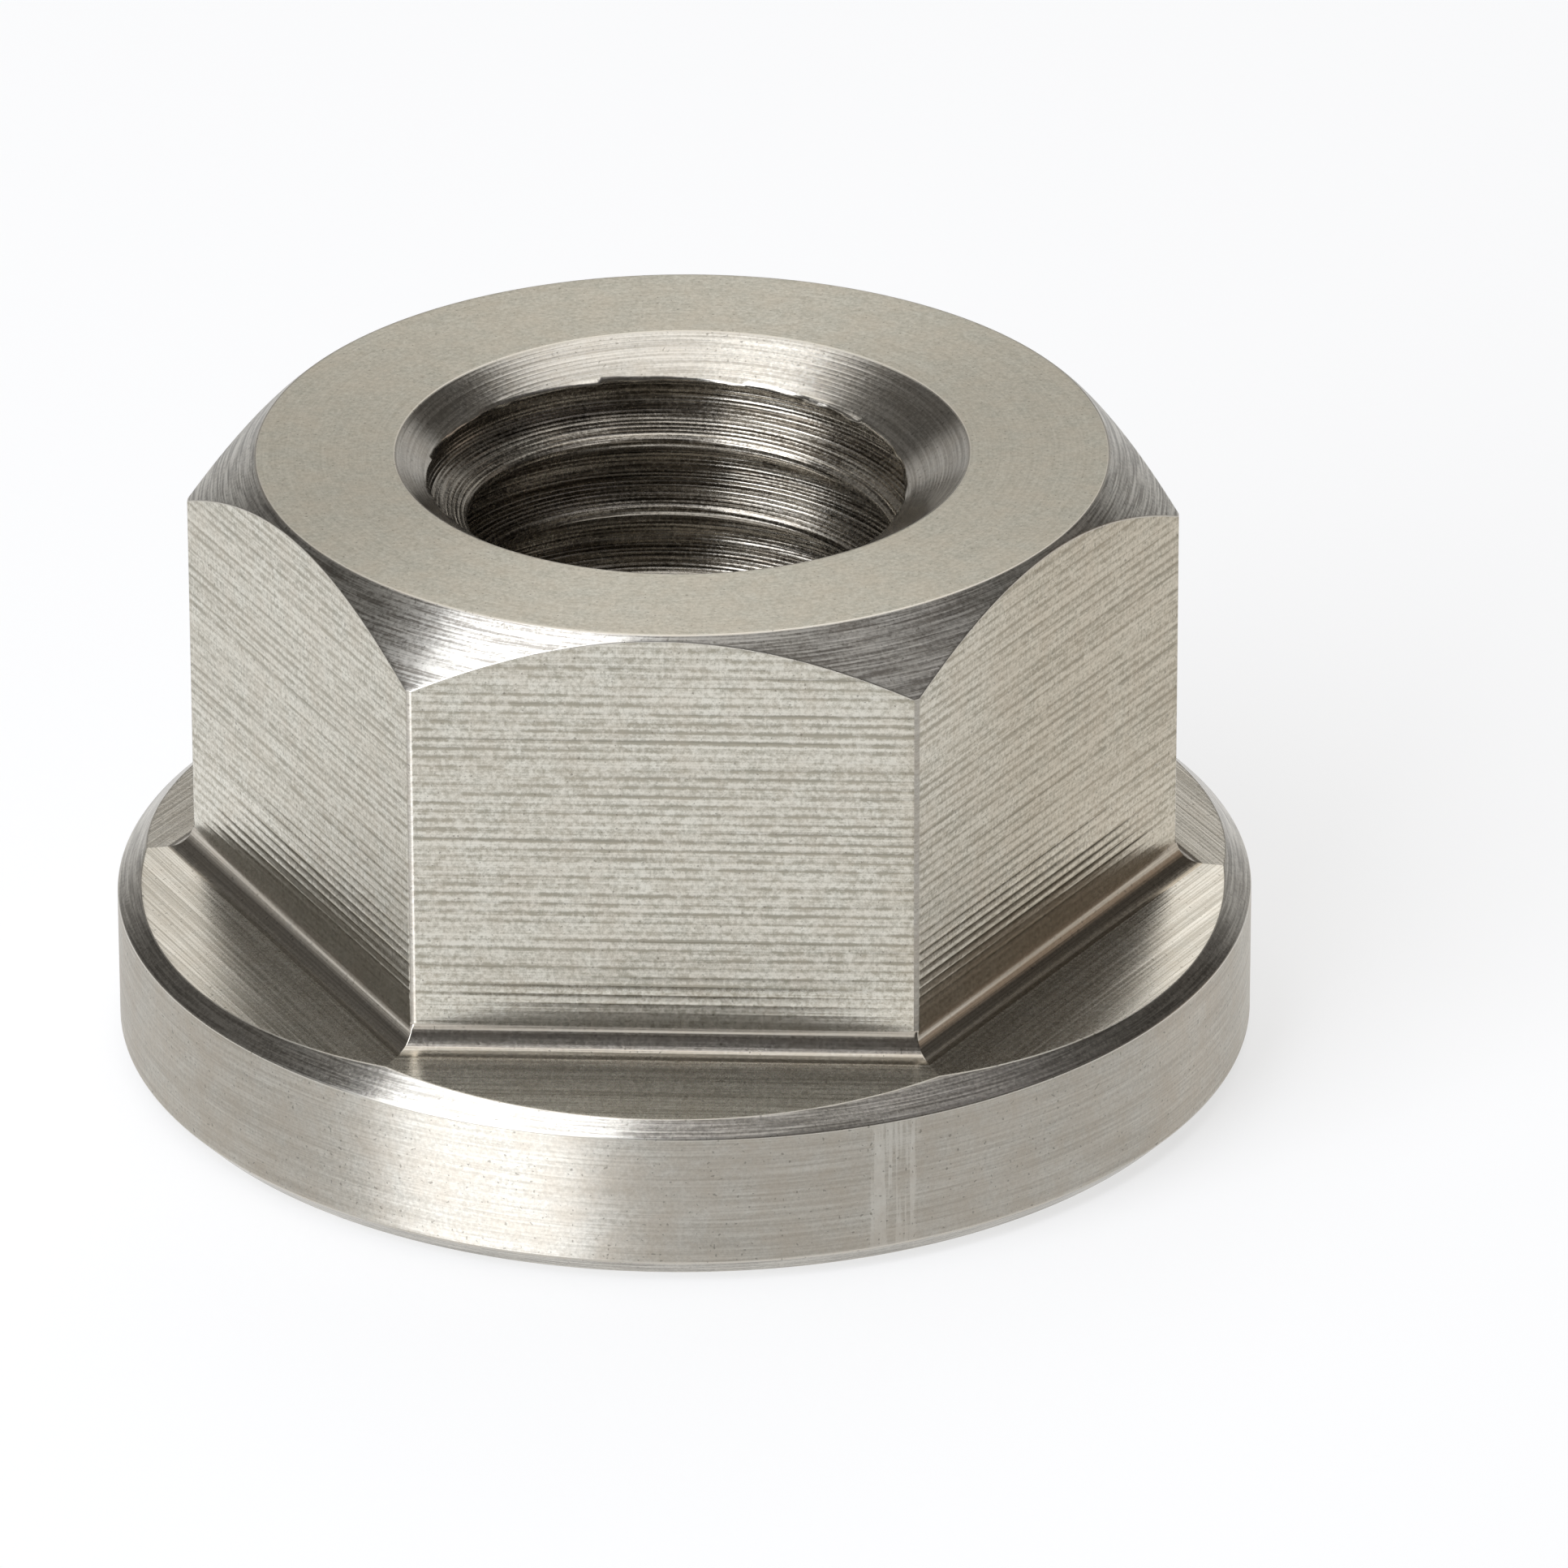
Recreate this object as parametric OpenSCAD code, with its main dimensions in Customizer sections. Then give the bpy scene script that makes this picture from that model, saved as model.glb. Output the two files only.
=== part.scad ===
// Hex flange nut, turned and milled from one piece of round bar.
// The origin is the centre of the seat, with +Z up along the thread's axis.
// Two of the six flats face -Y and +Y, so two corners lie on the X axis.

/* [Hexagon] */
// Wrench size, from flat to flat
across_flats = 17; // [15:0.5:18]
// Width of the turned strip that milling leaves on each corner
corner_strip = 0.12; // [0.06:0.02:0.4]
// Height from the seat to the top face
nut_height = 12.5; // [10:0.5:16]
// Diameter of the flat ring on top, where the top chamfer starts
top_face_d = 16.8; // [14:0.1:17]
// How steeply the top chamfer falls away, in degrees below level
top_chamfer_angle = 42; // [25:1:45]

/* [Collar] */
// Outer diameter of the collar
collar_d = 22.6; // [22:0.1:26]
// Height of the collar's upright side, from the seat to its top edge
collar_side_h = 3.1; // [2:0.1:4]
// How steeply the turned ring on top of the collar rises inwards, in degrees
collar_chamfer_angle = 40; // [30:1:50]
// Width and height of the small chamfer round the seat
seat_chamfer = 0.4; // [0.1:0.05:0.8]

/* [Milled flats] */
// How far the foot of a flat lies above the collar's top edge, before its fillet
facet_rise = 0.55; // [0.5:0.05:1.5]
// How steeply the milled facet over the collar falls outwards, in degrees
facet_slope = 6.3; // [2:0.1:8]
// Corner radius of the milling cutter, left as a fillet at the foot of each flat
cutter_radius = 0.5; // [0.3:0.05:1]
// How far the turned shoulder at the corners' feet lies below the fillets' top
shoulder_drop = 0.2; // [0.1:0.02:0.26]

/* [Thread] */
// Nominal diameter of the thread
thread_d = 10; // [8:0.5:11]
// Pitch of the thread
thread_pitch = 1.5; // [1:0.25:1.75]
// Full angle of both countersinks, in degrees
countersink_angle = 110; // [60:5:120]
// Diameter of the countersink at the top face
top_countersink_d = 11.3; // [10.6:0.1:12.4]
// Diameter of the countersink at the seat
seat_countersink_d = 10.8; // [10.4:0.1:12]

/* [Hidden] */
$fn = 180;

// The flats are spread evenly round the axis, and half_turn lies between flat and corner
flats = 6;
half_turn = 180 / flats;
flat_d = across_flats / 2;
collar_r = collar_d / 2;
top_face_r = top_face_d / 2;

// The barrel is turned a little smaller than the sharp corners, which leaves the strips
strip_edge = flat_d * tan(half_turn) - corner_strip / (2 * cos(half_turn));
barrel_r = norm([flat_d, strip_edge]);
barrel_top_z = nut_height - (barrel_r - top_face_r) * tan(top_chamfer_angle);

// The facet is a straight line that falls outwards from the foot of the flat
facet_root_z = collar_side_h + facet_rise;
function facet_z(d) = facet_root_z - (d - flat_d) * tan(facet_slope);

// The fillet touches the flat level with its centre, and the facet square to its slope
fillet_d = flat_d + cutter_radius;
fillet_z = facet_z(fillet_d) + cutter_radius / cos(facet_slope);
fillet_foot_d = fillet_d - cutter_radius * sin(facet_slope);

// The collar's ring rises to the shoulder, or to the barrel where that comes first
ring_slope = tan(collar_chamfer_angle);
shoulder_r = max(barrel_r, collar_r - (fillet_z - shoulder_drop - collar_side_h) / ring_slope);
shoulder_z = collar_side_h + (collar_r - shoulder_r) * ring_slope;

// A hole of the nominal diameter less one pitch is drilled before the thread is cut
bore_r = (thread_d - thread_pitch) / 2;
top_countersink_r = top_countersink_d / 2;
seat_countersink_r = seat_countersink_d / 2;
top_countersink_h = (top_countersink_r - bore_r) / tan(countersink_angle / 2);
seat_countersink_h = (seat_countersink_r - bore_r) / tan(countersink_angle / 2);

// The milling cuts run past the turned shape by this much on every open side
overcut = 0.2;
cut_outer_d = collar_r + overcut;
cut_top_z = nut_height + overcut;
cut_length = 2 * collar_r + 2 * overcut;

// Half section of the lathe work, as radius and height, from the seat outwards and up
module turned_section() {
    polygon([
        [seat_countersink_r, 0],
        [collar_r - seat_chamfer, 0],
        [collar_r, seat_chamfer],
        [collar_r, collar_side_h],
        [shoulder_r, shoulder_z],
        [barrel_r, shoulder_z],
        [barrel_r, barrel_top_z],
        [top_face_r, nut_height],
        [top_countersink_r, nut_height],
        [bore_r, nut_height - top_countersink_h],
        [bore_r, seat_countersink_h]
    ]);
}

// The section starts its turn halfway between a corner and a flat, clear of every edge
module turned_blank() {
    rotate([0, 0, half_turn / 2])
        rotate_extrude()
            turned_section();
}

// What the cutter sweeps away beside one flat, as distance from the axis and height
module cutter_section() {
    polygon([
        [flat_d, cut_top_z],
        [flat_d, fillet_z],
        [fillet_d, fillet_z],
        [fillet_foot_d, facet_z(fillet_foot_d)],
        [cut_outer_d, facet_z(cut_outer_d)],
        [cut_outer_d, cut_top_z]
    ]);
    translate([fillet_d, fillet_z])
        circle(r = cutter_radius);
}

// One straight pass of the cutter, along the flat that faces +X
module milling_cut() {
    rotate([90, 0, 0])
        linear_extrude(height = cut_length, center = true)
            cutter_section();
}

module flange_nut() {
    color([0.74, 0.72, 0.68])
        difference() {
            turned_blank();
            for (i = [0 : flats - 1])
                rotate([0, 0, (2 * i + 1) * half_turn])
                    milling_cut();
        }
}

flange_nut();
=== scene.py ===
# %% [markdown]
# # A hex flange nut in turned and milled stainless steel
#
# The real nut starts as a round bar. A lathe turns the collar, the top and both
# countersinks, a tap cuts the thread, and six straight passes of a milling cutter leave the
# flats and the sloping facets over the collar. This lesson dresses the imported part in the
# same order: the turned and milled skin, the thread, the steel, then the studio.
#
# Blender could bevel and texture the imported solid. Its facets would stay loose triangles,
# though, and the thread would be missing, so the skin is worked out anew as one closed
# surface on the same sizes.

# %% Load the fixed frame
from dataclasses import dataclass
from types import SimpleNamespace

import bpy
import numpy as np
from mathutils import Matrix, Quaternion, Vector


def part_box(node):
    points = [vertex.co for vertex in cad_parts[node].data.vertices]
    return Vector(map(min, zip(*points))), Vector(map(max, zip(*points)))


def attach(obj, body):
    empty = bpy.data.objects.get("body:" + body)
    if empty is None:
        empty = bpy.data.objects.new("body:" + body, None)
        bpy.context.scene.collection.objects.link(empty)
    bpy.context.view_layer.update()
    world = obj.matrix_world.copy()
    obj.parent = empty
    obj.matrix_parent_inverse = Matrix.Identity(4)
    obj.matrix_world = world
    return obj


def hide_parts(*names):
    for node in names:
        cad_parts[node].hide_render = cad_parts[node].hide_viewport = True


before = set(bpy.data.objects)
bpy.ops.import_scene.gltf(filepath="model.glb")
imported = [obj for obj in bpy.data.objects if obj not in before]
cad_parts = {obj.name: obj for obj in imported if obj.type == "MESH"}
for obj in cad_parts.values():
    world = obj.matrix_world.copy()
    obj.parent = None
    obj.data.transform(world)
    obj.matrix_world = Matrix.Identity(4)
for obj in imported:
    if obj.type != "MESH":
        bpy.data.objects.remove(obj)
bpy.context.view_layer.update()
low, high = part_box("flange_nut")
print("the packed nut, in millimetres:", [round(1000 * side, 2) for side in high - low])

# %% [markdown]
# ## The nut's sizes
#
# Everything below is worked out in millimetres and turned to metres at the end, because a
# lathe hand thinks in millimetres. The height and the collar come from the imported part, and
# the rest are the part's own driving sizes.

# %% Sizes in millimetres
MM = 0.001
HEIGHT = high.z / MM
COLLAR_R = high.y / MM
# The hexagon: axis to flat, axis to the turned strip on each corner, and the top chamfer
FLAT_D = 8.5
STRIP_R = 9.78
TOP_FACE_R = 8.4
TOP_CHAMFER = np.tan(np.radians(42))
# The collar: its upright side, the chamfer ring over it and the chamfer round the seat
COLLAR_SIDE = 3.1
COLLAR_CHAMFER = np.tan(np.radians(40))
SEAT_CHAMFER = 0.4
# The milled facet: its height at the flat, how it falls, and the cutter's rounded corner
FACET_ROOT = 3.65
FACET_SLOPE = np.radians(6.3)
CUTTER_R = 0.5
# The corners' feet: how far the turned strip reaches below the fillet's top, and its flare
SHOULDER_DROP = 0.2
STRIP_FLARE = 0.42
# The M10 thread: drilled hole, root and pitch, then the countersinks above and below it
BORE_R = 4.25
ROOT_R = 5.05
PITCH = 1.5
TOP_SINK_R = 5.65
SEAT_SINK_R = 5.4
SINK_SPREAD = np.tan(np.radians(55))
print("height over pitch:", round(HEIGHT / PITCH, 1), "turns of thread")

# %% [markdown]
# ## Columns round the axis
#
# The skin is a grid. Its columns stand round the axis and its rows follow the profile from
# the countersink over the top, down the side and under the seat. A grid shows an edge crisply
# only where a row or a column runs along it, so each corner of the hexagon gets columns of
# its own. The mill has left a narrow strip of the turned bar on each corner, so there is
# one column on each side of both its edges.

# %% Angles of the columns
SIDES = 6
SECTOR = 2 * np.pi / SIDES
STRIP_ANGLE = np.arccos(FLAT_D / STRIP_R)
FLAT_COLUMNS = 40
# Extra columns lie this far from each edge of a strip, and this far from its middle
EDGE_ANGLES = np.radians([0.06, 0.25])
RIDGE_ANGLE = np.radians(0.08)


def sector_angles():
    """Angles of one sixth, from the middle of one flat to just before the middle of the next:
    even steps on the flats, with extra ones beside both edges and the middle of the strip."""
    near = STRIP_ANGLE - EDGE_ANGLES[::-1]
    inner = STRIP_ANGLE + EDGE_ANGLES[0]
    ridge = SECTOR / 2 + RIDGE_ANGLE * np.array([-1, 0, 1])
    strip = np.array([inner, *ridge, SECTOR - inner])
    rising = np.linspace(0, near[0], FLAT_COLUMNS // 2, endpoint=False)
    return np.concatenate([rising, near, strip, SECTOR - near[::-1], SECTOR - rising[:0:-1]])


one_sixth = sector_angles()
flat_facing = np.pi / 2 + SECTOR * np.arange(SIDES)
theta = (flat_facing[:, None] + one_sixth[None, :]).ravel() - np.pi
COLUMNS = len(theta)
off_flat = np.abs((theta - np.pi / 2 + SECTOR / 2) % SECTOR - SECTOR / 2)
print("columns round the axis:", COLUMNS)

# %% [markdown]
# ## The profile, corner by corner
#
# Seen from above, a flat lies further from the axis the nearer it comes to a corner: its
# distance grows with one over the cosine of the angle. That one factor, `reach`, carries the
# whole milled outline, also the fillet and the facet, and the turned strip at the corner
# stops it down to the shoulder. Where a flat cuts the top chamfer, the edge rises and falls
# by itself as an arc, and where the facet cuts the collar's chamfer it leaves a scalloped
# ring. Both are seen on the real nut.

# %% Corners of the profile in each column
reach = 1 / np.cos(off_flat)
fillet_d = FLAT_D + CUTTER_R
fillet_z = FACET_ROOT - CUTTER_R * np.tan(FACET_SLOPE) + CUTTER_R / np.cos(FACET_SLOPE)


def ring_edge():
    """Radius where the facet meets the collar's turned chamfer, found from two straight
    lines: the facet falls outwards with the reach, and the chamfer rises inwards."""
    slope = np.tan(FACET_SLOPE)
    gap = COLLAR_SIDE - FACET_ROOT + COLLAR_R * COLLAR_CHAMFER - FLAT_D * slope
    return gap / (COLLAR_CHAMFER - slope / reach)


flat_r = np.minimum(FLAT_D * reach, STRIP_R)
ring_r = ring_edge()
ring_z = COLLAR_SIDE + (COLLAR_R - ring_r) * COLLAR_CHAMFER
arc_z = HEIGHT - (flat_r - TOP_FACE_R) * TOP_CHAMFER
print("top arcs rise by", round(float(np.ptp(arc_z)), 2), "mm from corner to mid-flat")
print("the ring is", round(COLLAR_R - ring_r.max(), 2), "to", round(COLLAR_R - ring_r.min(), 2), "mm wide")

# %% [markdown]
# ## Rows from corner to corner
#
# Each corner of the profile is a place, a rounding, the number of rows to the next corner
# and the finish of the surface up to there. A machined edge is never knife sharp: a few
# hundredths of a millimetre break it, and that thin bevel is what catches the light as a
# bright line. A curve with three weights, the same that a drawing program uses, rounds each.
#
# A Bevel modifier could break the edges as well, but it would round all alike, the fillet's
# soft rows included. One row close to each edge keeps a flat surface's shading flat.

# %% Carry a profile round the nut
FACE, SINK, CHAMFER, RING, COLLAR, FLAT, FILLET, FACET, EDGE, THREAD = range(10)
MILLED = [FLAT, FILLET, FACET]
# How far that row lies from the edge, and the most that this may be of the whole way
SUPPORT = 0.05
MOST_SUPPORT = 0.2


def corner(radius, height, rounding, rows, finish):
    """A corner of the profile as an array of radius and height over all columns."""
    place = np.stack([np.broadcast_to(radius, COLUMNS), np.broadcast_to(height, COLUMNS)])
    return place.astype(float), rounding, rows, finish


def towards(start, end, distance):
    """The point at that distance from start on the straight line to end."""
    step = end - start
    return start + step * distance / np.linalg.norm(step, axis=0)


def rounded(before, place, after, size, steps=4):
    """A curve from size before the corner to size after it: the mean of three points with
    weights that slide from the first to the last."""
    t = np.linspace(0, 1, steps + 1)[:, None, None]
    start, end = towards(place, before, size), towards(place, after, size)
    return (1 - t) ** 2 * start + 2 * t * (1 - t) * place + t ** 2 * end


def carry(corners):
    """All rows of the skin, and for each band between two rows the finish it wears."""
    rows, finishes = [corners[0][0][None]], []
    for this, following, after in zip(corners, corners[1:], corners[2:] + [None]):
        count, finish = this[2:]
        place, size = following[:2]
        start = rows[-1][-1]
        end = towards(place, start, size) if size else place
        margin = min(SUPPORT / np.linalg.norm(end - start, axis=0).mean(), MOST_SUPPORT)
        share = np.linspace(margin, 1 - margin, count if count > 1 else 0)[:, None, None]
        rows.append(start + (end - start) * share)
        rows.append(rounded(start, place, after[0], size) if size else place[None])
        finishes += [finish] * (len(rows[-2]) + 1) + [EDGE] * (len(rows[-1]) - 1)
    return np.concatenate(rows), np.array(finishes)


# %% The fillet at the foot of a flat
ARC_STEPS = 14


def fillet_corner(bend):
    """A point of the fillet's quarter circle. Down to the shoulder the turned strip, flaring
    a little, stops it, and below that two neighbouring fillets meet in a mitre."""
    drop = CUTTER_R * np.sin(bend)
    milled_r = (fillet_d - CUTTER_R * np.cos(bend)) * reach
    turned_r = STRIP_R + STRIP_FLARE * drop if drop < SHOULDER_DROP else np.inf
    return corner(np.minimum(milled_r, turned_r), fillet_z - drop, 0, 1, FILLET)


fillet = [fillet_corner(bend) for bend in np.linspace(0, np.pi / 2 - FACET_SLOPE, ARC_STEPS + 1)]
facet_start = fillet[-1][0]
print("the fillet drops", round(fillet_z - float(facet_start[1, 0]), 2), "mm in", ARC_STEPS, "steps")

# %% The whole profile
# How far an edge is broken where the lathe left it, and where the mill did
TURNED_BREAK = 0.03
MILLED_BREAK = 0.02
# Skin and thread are joined on both countersinks, just outside the thread's root
JOIN_R = 5.12
top_join_z = HEIGHT - (TOP_SINK_R - JOIN_R) / SINK_SPREAD
seat_join_z = (SEAT_SINK_R - JOIN_R) / SINK_SPREAD
profile = [
    # radius, height, rounding, rows to the next corner, finish up to there
    corner(JOIN_R, top_join_z, 0, 4, SINK),
    corner(TOP_SINK_R, HEIGHT, TURNED_BREAK, 6, FACE),
    corner(TOP_FACE_R, HEIGHT, TURNED_BREAK, 4, CHAMFER),
    corner(flat_r, arc_z, MILLED_BREAK, 8, FLAT),
    *fillet[:-1],
    corner(*facet_start, 0, 5, FACET),
    corner(ring_r, ring_z, MILLED_BREAK, 4, RING),
    corner(COLLAR_R, COLLAR_SIDE, TURNED_BREAK, 6, COLLAR),
    corner(COLLAR_R, SEAT_CHAMFER, TURNED_BREAK, 3, RING),
    corner(COLLAR_R - SEAT_CHAMFER, 0, TURNED_BREAK, 8, FACE),
    corner(SEAT_SINK_R, 0, TURNED_BREAK, 4, SINK),
    corner(JOIN_R, seat_join_z, 0, 1, SINK),
]
rows, row_finish = carry(profile)
ROWS = len(rows)
print("rows of the skin:", ROWS, "with", len(row_finish), "bands")

# %% [markdown]
# ## The thread
#
# A tap leaves a groove that climbs one pitch in each turn. On a drawing its section is a
# row of teeth: a flat crest at the drilled hole, two flanks at 60 degrees to each other and
# a narrow root. Blender's Screw modifier could wind such a section, but its ends would stay
# open. Here the rows of the grid climb with the thread, so that crest and root are true
# lines of the mesh and stay sharp.

# %% Section of the thread
CREST_WIDTH = 0.16
ROOT_WIDTH = 0.416
CREST_BREAK = 0.03
ROOT_BREAK = 0.03


def thread_radius(along):
    """Radius of the thread's wall over one pitch, by height from the middle of the crest:
    flat crest, straight flank, flat root."""
    from_crest = np.abs((along + PITCH / 2) % PITCH - PITCH / 2)
    flank = (from_crest - CREST_WIDTH / 2) / (PITCH / 2 - CREST_WIDTH / 2 - ROOT_WIDTH / 2)
    return BORE_R + (ROOT_R - BORE_R) * np.clip(flank, 0, 1)


def pitch_heights():
    """Heights of the rows in one pitch, with rows packed at the edges of crest and root."""
    half = PITCH / 2
    crest = CREST_WIDTH / 2
    root = half - ROOT_WIDTH / 2
    broken = crest + CREST_BREAK * np.array([-1.5, -0.5, 0.5, 2])
    flank = np.linspace(crest, root, 8)[1:-1]
    side = np.concatenate([[0], broken, flank, [root - ROOT_BREAK, root + ROOT_BREAK, half]])
    return np.concatenate([side, PITCH - side[-2:0:-1]])


# %% A grid that climbs with the thread
# At the back of the nut, the crest's lower edge lies this far below the top face
THREAD_PHASE = 1.92
steps = pitch_heights()
PITCH_ROWS = len(steps)
turns = int(np.ceil((top_join_z - seat_join_z) / PITCH)) + 2
along = (np.arange(turns)[:, None] * PITCH + steps[None, :]).ravel()
climb = theta - theta[0]
crest_start = HEIGHT - THREAD_PHASE + CREST_WIDTH / 2 + PITCH * (theta[0] - np.pi / 2) / (2 * np.pi)
crest_start -= PITCH * np.ceil((crest_start - seat_join_z) / PITCH + 1)
height = crest_start + along[:, None] + PITCH * climb[None, :] / (2 * np.pi)
print("thread rows:", len(along), "by", COLUMNS, "columns")

# %% [markdown]
# ## Where the thread runs out
#
# Where a countersink reaches further out than the thread does, the surface simply takes the
# larger radius, as the cutter would leave it. A Boolean could cut one with the other, but it
# would leave slivers along the line where they cross. So rows next to that line are moved
# onto it.
#
# The real thread doesn't stop cleanly. The tap has pushed up a thin torn lip where it broke
# through the cone, ragged and less than a tenth of a millimetre high, so a little is taken
# off the radius there.

# %% Meet the countersinks
# The torn lip's height, and how far from the line it has mostly faded
BURR_HEIGHT = 0.07
BURR_REACH = 0.08


def cone_radius(at_height):
    """Radius of whichever countersink is wider at that height: each narrows evenly from its
    face inwards."""
    top = TOP_SINK_R - (HEIGHT - at_height) * SINK_SPREAD
    return np.maximum(top, SEAT_SINK_R - at_height * SINK_SPREAD)


def burr(angle):
    """Height of the torn lip by angle: three waves of uneven length where their sum is above
    zero, strongest at the back, where the tap broke through the cone last."""
    waves = np.sin(7 * angle + 1) + np.sin(19 * angle) + np.sin(31 * angle + 2)
    return BURR_HEIGHT * np.clip(waves / 2, 0, 1) * (0.65 + 0.35 * np.sin(angle))


# The excess changes its sign where cone and thread cross, somewhere between two rows
tooth_r = np.broadcast_to(thread_radius(along)[:, None], height.shape)
excess = cone_radius(height) - tooth_r
crossing = np.sign(excess[:-1]) != np.sign(excess[1:])
crossed_at = excess[:-1] / np.where(crossing, excess[:-1] - excess[1:], 1)
step_up = np.diff(height, axis=0)
lift = np.zeros_like(height)
lift[:-1] += np.where(crossing & (crossed_at < 0.5), crossed_at * step_up, 0)
lift[1:] -= np.where(crossing & (crossed_at >= 0.5), (1 - crossed_at) * step_up, 0)
height = height + lift
tooth_r = thread_radius(along[:, None] + lift)
margin = cone_radius(height) - tooth_r
lip = burr(theta) * np.exp(-(margin / BURR_REACH) ** 2)
wall = np.maximum(tooth_r + np.maximum(margin, 0) - lip, BORE_R)
print("points moved to the line:", int((lift != 0).sum()))
print("the lip is up to", round(float(lip.max()), 3), "mm high")

# %% [markdown]
# ## One closed mesh
#
# Nut and thread are one piece of steel, so they are one mesh too. Two meshes that only
# touch would do for a picture, but they would show a seam and leave the part open.
#
# The thread's grid is the hole's wall. Its cells above and below the two joins fold onto
# the skin's first and last row, and a column that has gone once round meets itself one
# pitch higher. Triangles that have folded to nothing are dropped.

# %% Join skin and thread
# Rows nearer to a join than this, in millimetres, fold onto it
JOIN_GAP = 1e-3
skin = np.arange(ROWS * COLUMNS).reshape(ROWS, COLUMNS)
inside = (height > seat_join_z + JOIN_GAP) & (height < top_join_z - JOIN_GAP)
number = np.cumsum(inside.ravel()).reshape(inside.shape) - 1 + skin.size
groove = np.where(inside, number, np.where(height > HEIGHT / 2, skin[0], skin[-1]))


def cell_corners(grid):
    """Values at the four corners of each cell of a grid, in the order that faces outwards."""
    around = [grid[:-1, :-1], grid[1:, :-1], grid[1:, 1:], grid[:-1, 1:]]
    return np.stack(around, axis=-1).reshape(-1, 4)


def closed(grid):
    """The grid with its first column again after its last."""
    return np.hstack([grid, grid[:, :1]])


def one_turn_on(grid, beyond):
    """The grid with its first column again after its last, one pitch higher."""
    after_turn = np.vstack([grid[PITCH_ROWS:, :1], np.full((PITCH_ROWS, 1), beyond)])
    return np.hstack([grid, after_turn])


def split(values):
    """Two triangles for each cell of four corners, cut from its second corner to its fourth,
    the way that the line between cone and thread crosses the rows."""
    return np.concatenate([values[:, [0, 1, 3]], values[:, [1, 2, 3]]])


cells = np.concatenate([cell_corners(closed(skin)), cell_corners(one_turn_on(groove, skin[0, 0]))])
triangles = split(cells)
whole = (triangles != np.roll(triangles, 1, axis=1)).all(axis=1)
triangles = triangles[whole]
print("cells:", len(cells), "triangles:", len(triangles), "folded away:", int((~whole).sum()))

# %% [markdown]
# ## Which finish goes where
#
# Each band of the skin has its finish already. The narrow strips on the hexagon's corners
# are bar that only the lathe has touched, so they look like the collar's side. In the
# thread's grid, triangles that lie on a countersink's cone were cut with the cone, so they
# wear its finish, and the line between the two stays crisp.

# %% Finish and place of every triangle
# A point is on a cone where its margin over the thread is at least this, to allow for rounding
ON_CONE = -1e-4
closed_off_flat = closed(off_flat[None])[0]
strip_column = (closed_off_flat[:-1] + closed_off_flat[1:]) / 2 > STRIP_ANGLE
skin_finish = np.where(strip_column & (row_finish[:, None] == FLAT), COLLAR, row_finish[:, None])
cell_finish = np.concatenate([skin_finish.ravel(), np.full(len(cells) - skin_finish.size, THREAD)])


def thread_values(grid, beyond):
    """Values of a grid over the thread at the corners of each kept triangle, zero on the skin."""
    on_thread = cell_corners(one_turn_on(grid, beyond))
    return split(np.concatenate([np.zeros((skin_finish.size, 4)), on_thread]))[whole]


on_skin = np.tile(np.arange(len(cells)) < skin_finish.size, 2)[whole]
on_cone = (thread_values(margin, 1.0) > ON_CONE).all(axis=1) & ~on_skin
finish = np.where(on_cone, SINK, np.tile(cell_finish, 2)[whole])
radius = np.concatenate([rows[:, 0].ravel(), wall[inside]])
level = np.concatenate([rows[:, 1].ravel(), height[inside]])
angle = np.concatenate([np.tile(theta, ROWS), np.broadcast_to(theta, height.shape)[inside]])
points = np.stack([radius * np.cos(angle), radius * np.sin(angle), level], axis=1) * MM
print("points:", len(points), "triangles on the cones:", int(on_cone.sum()))

# %% [markdown]
# ## A map of the tool's path
#
# What the eye takes for steel is mostly the direction of its tool marks. They run round the
# axis where the lathe cut and straight along each flat where the mill cut. Blender can
# unwrap a mesh by itself, but it knows nothing of tools. So a map in millimetres is worked
# out with the shape: U counts across the marks and V along them.
#
# On turned surfaces U is the length of the profile so far. On milled ones it is the distance
# from the axis less the height, which grows down the flat, through the fillet and out over
# the facet. In the thread it is the length along the tooth's section.

# %% U and V on the skin
# V is the angle times these radii, one for the skin and one for the thread
TURNED_V_R = 10.0
THREAD_V_R = 5.0
theta_closed = np.append(theta, theta[0] + 2 * np.pi)


def path_length(sections):
    """Length along the profile from the first row, added up from row to row."""
    pieces = np.linalg.norm(np.diff(sections, axis=0), axis=1)
    return np.vstack([np.zeros(pieces.shape[1]), np.cumsum(pieces, axis=0)])


from_top = path_length(rows)
from_seat = path_length(rows[::-1])[::-1]
milled_rows = np.flatnonzero(np.isin(row_finish, MILLED))
above_mill = (np.arange(ROWS) < milled_rows[0])[:, None]
turned_u = closed(np.where(above_mill, from_top, -from_seat))
turned_v = np.broadcast_to(theta_closed * TURNED_V_R, turned_u.shape)

corner_theta = cell_corners(np.broadcast_to(theta_closed, turned_u.shape))
facing = np.round((corner_theta.mean(axis=1) - np.pi / 2) / SECTOR) * SECTOR + np.pi / 2
turn = corner_theta - facing[:, None]
corner_r, corner_z = cell_corners(closed(rows[:, 0])), cell_corners(closed(rows[:, 1]))
milled = np.isin(np.repeat(row_finish, COLUMNS), MILLED)[:, None]
skin_u = np.where(milled, corner_r * np.cos(turn) - corner_z, cell_corners(turned_u))
skin_v = np.where(milled, corner_r * np.sin(turn), cell_corners(turned_v))
print("U of the milled surfaces:", round(float(skin_u[milled[:, 0]].min()), 2),
      "to", round(float(skin_u[milled[:, 0]].max()), 2), "mm")

# %% U and V in the thread
tooth = path_length(np.stack([thread_radius(along), along], axis=1)[:, :, None])
groove_shape = (len(along), COLUMNS + 1)
groove_u = cell_corners(np.broadcast_to(tooth, groove_shape))
groove_v = cell_corners(np.broadcast_to(theta_closed * THREAD_V_R, groove_shape))
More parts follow.
